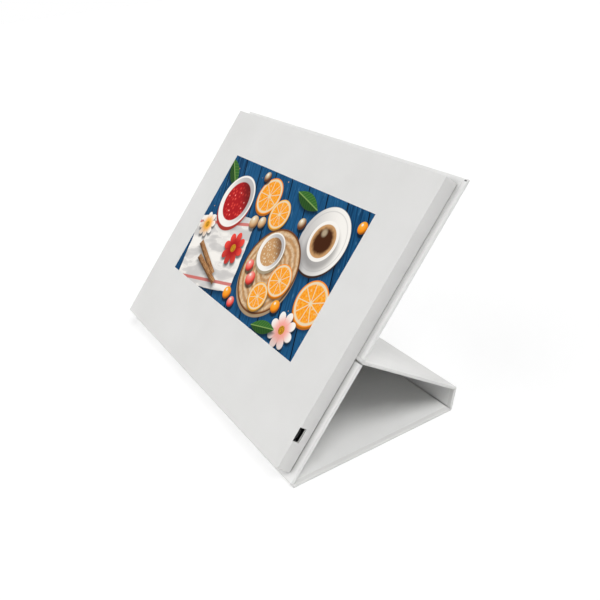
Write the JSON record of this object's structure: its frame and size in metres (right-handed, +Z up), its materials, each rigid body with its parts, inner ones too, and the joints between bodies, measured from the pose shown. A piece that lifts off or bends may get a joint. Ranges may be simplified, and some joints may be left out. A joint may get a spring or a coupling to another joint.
{
  "type": "video brochure",
  "caption": "Landscape hard-cover video brochure folded into an easel, its paper-wrapped display box leaning back above a hinged base, spine and leg.",
  "frame": {"origin": "centre of the base panel's underside, on the surface that it lies on", "axes": "+X across the screen to the viewer's right, -Y towards the viewer, +Z up"},
  "size_m": [0.2182, 0.1162, 0.1295],
  "materials": {
    "white_paper": "matte laminated",
    "inner_paper": "matte laminated",
    "crease_paper": "matte laminated",
    "grey_board": "raw",
    "white_card": "raw",
    "white_foam": "closed-cell foam",
    "screen_glass": "glossy, lit picture",
    "clear_acrylic": "polished",
    "lcd_steel": "pressed sheet",
    "ribbon_film": "polyimide film",
    "green_laminate": "solder mask",
    "black_plastic": "moulded",
    "socket_steel": "tinned",
    "battery_foil": "laminated foil",
    "adhesive_tape": "double-sided tape",
    "red_insulation": "wire insulation",
    "speaker_plastic": "moulded",
    "switch_body": "moulded",
    "magnet_nickel": "nickel plated",
    "catch_steel": "stamped"
  },
  "bodies": {
    "base": {"base_board": "grey_board", "base_wrap": "white_paper", "base_liner": "inner_paper", "flap_crease": "crease_paper", "base_crease": "crease_paper"},
    "flap": {"flap_board": "grey_board", "flap_wrap": "white_paper", "flap_liner": "inner_paper", "flap_magnets": "magnet_nickel"},
    "spine": {"spine_board": "grey_board", "spine_wrap": "white_paper", "spine_liner": "inner_paper", "spine_crease": "crease_paper"},
    "leg": {"leg_board": "grey_board", "leg_wrap": "white_paper", "leg_liner": "inner_paper", "leg_crease": "crease_paper"},
    "display": {"rear_board": "grey_board", "rear_wrap": "white_paper", "rear_liner": "inner_paper", "face_wrap": "white_paper", "face_card": "white_card", "side_frame": "white_card", "back_card": "white_card", "foam_core": "white_foam", "lcd_glass": "screen_glass", "light_guide": "clear_acrylic", "lcd_frame": "lcd_steel", "lcd_ribbon": "ribbon_film", "main_board": "green_laminate", "board_chips": "black_plastic", "usb_socket": "socket_steel", "battery": "battery_foil", "battery_tape": "adhesive_tape", "battery_leads": "red_insulation", "speaker": "speaker_plastic", "speaker_leads": "red_insulation", "magnet_switch": "switch_body", "switch_leads": "red_insulation", "front_catch_magnets": "magnet_nickel", "back_catch_discs": "catch_steel"}
  },
  "joints": [
    {"name": "flap_hinge", "type": "hinge", "parent": "base", "child": "flap", "pos_m": [0, -0.04915, 0.00211], "axis": [-1, 0, 0], "range_deg": [0, 44], "deforming": ["flap_crease"]},
    {"name": "spine_hinge", "type": "hinge", "parent": "base", "child": "spine", "pos_m": [0, 0.04915, 0.0011], "axis": [-1, 0, 0], "range_deg": [0, 74.5], "deforming": ["base_crease"]},
    {"name": "leg_hinge", "type": "hinge", "parent": "spine", "child": "leg", "pos_m": [0, 0.0524, 0.01296], "axis": [1, 0, 0], "range_deg": [-70.3, 0], "deforming": ["spine_crease"]},
    {"name": "display_hinge", "type": "hinge", "parent": "leg", "child": "display", "pos_m": [0, -0.00353, 0.05322], "axis": [1, 0, 0], "range_deg": [-75, 0], "deforming": ["leg_crease"]}
  ]
}
